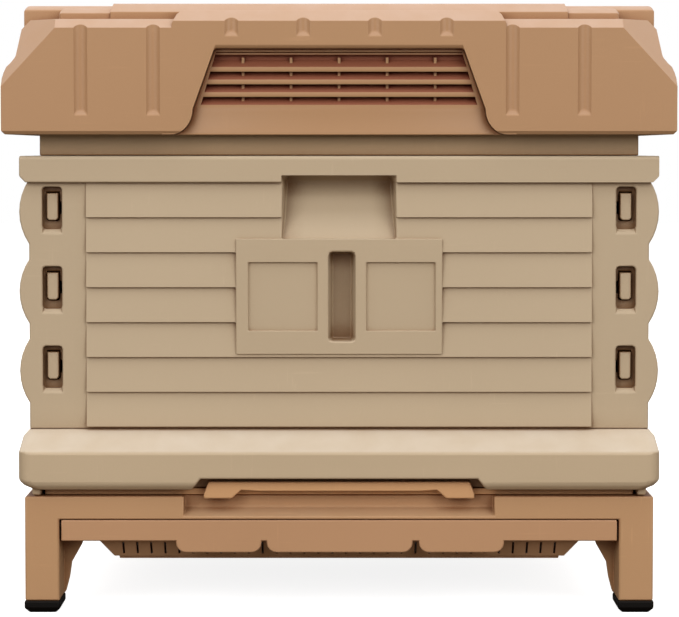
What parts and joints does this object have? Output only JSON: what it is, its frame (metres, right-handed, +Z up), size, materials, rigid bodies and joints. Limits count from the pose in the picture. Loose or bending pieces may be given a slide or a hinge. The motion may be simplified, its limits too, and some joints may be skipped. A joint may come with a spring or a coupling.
{
  "type": "beehive",
  "caption": "Double-walled plastic beehive with hanging frames, lift-off roof, top feeder, sliding gate and two drawers, on a four-legged stand.",
  "frame": {"origin": "on the ground, under the middle of the hive", "axes": "+Z up; -Y is the long side in the picture, where the two drawers pull out; +X is to the right as one looks at that side; the bees' entrance is on +Y"},
  "size_m": [0.6038, 0.5366, 0.5472],
  "materials": {
    "tan_plastic": "satin moulded, fine grain",
    "beige_plastic": "satin moulded, fine grain",
    "cream_plastic": "matt moulded",
    "black_foot": "satin",
    "smoke_cap": "gloss, smoky"
  },
  "bodies": {
    "stand": {"stand_frame": "tan_plastic", "foot_front_left": "black_foot", "foot_front_right": "black_foot", "foot_rear_left": "black_foot", "foot_rear_right": "black_foot"},
    "debris_drawer": {"debris_tray": "tan_plastic"},
    "floor": {"bottom_board": "beige_plastic", "floor_screen": "cream_plastic"},
    "pest_drawer": {"pest_tray": "tan_plastic"},
    "gate": {"entrance_gate": "tan_plastic"},
    "hive_body": {"front_panel": "beige_plastic", "rear_panel": "beige_plastic", "left_panel": "beige_plastic", "right_panel": "beige_plastic"},
    "frame_set": {"frame_01": "cream_plastic", "frame_02": "cream_plastic", "frame_03": "cream_plastic", "frame_04": "cream_plastic", "frame_05": "cream_plastic", "frame_06": "cream_plastic", "frame_07": "cream_plastic", "frame_08": "cream_plastic", "frame_09": "cream_plastic", "frame_10": "cream_plastic"},
    "feeder": {"feeder_tray": "beige_plastic"},
    "cap": {"feeder_cap": "smoke_cap"},
    "roof": {"roof_shell": "tan_plastic", "roof_grille": "tan_plastic"}
  },
  "joints": [
    {"name": "debris_drawer_slide", "type": "slide", "parent": "stand", "child": "debris_drawer", "axis": [0, -1, 0], "range_m": [0, 0.45]},
    {"name": "floor_lift", "type": "slide", "parent": "stand", "child": "floor", "axis": [0, 0, 1], "range_m": [0, 0.12]},
    {"name": "pest_drawer_slide", "type": "slide", "parent": "floor", "child": "pest_drawer", "axis": [0, -1, 0], "range_m": [0, 0.45]},
    {"name": "gate_slide", "type": "slide", "parent": "floor", "child": "gate", "axis": [1, 0, 0], "range_m": [-0.13, 0]},
    {"name": "hive_body_lift", "type": "slide", "parent": "floor", "child": "hive_body", "axis": [0, 0, 1], "range_m": [0, 0.15]},
    {"name": "frame_set_lift", "type": "slide", "parent": "hive_body", "child": "frame_set", "axis": [0, 0, 1], "range_m": [0, 0.26]},
    {"name": "feeder_lift", "type": "slide", "parent": "frame_set", "child": "feeder", "axis": [0, 0, 1], "range_m": [0, 0.15]},
    {"name": "cap_lift", "type": "slide", "parent": "feeder", "child": "cap", "axis": [0, 0, 1], "range_m": [0, 0.045]},
    {"name": "roof_lift", "type": "slide", "parent": "feeder", "child": "roof", "axis": [0, 0, 1], "range_m": [0, 0.16]}
  ]
}
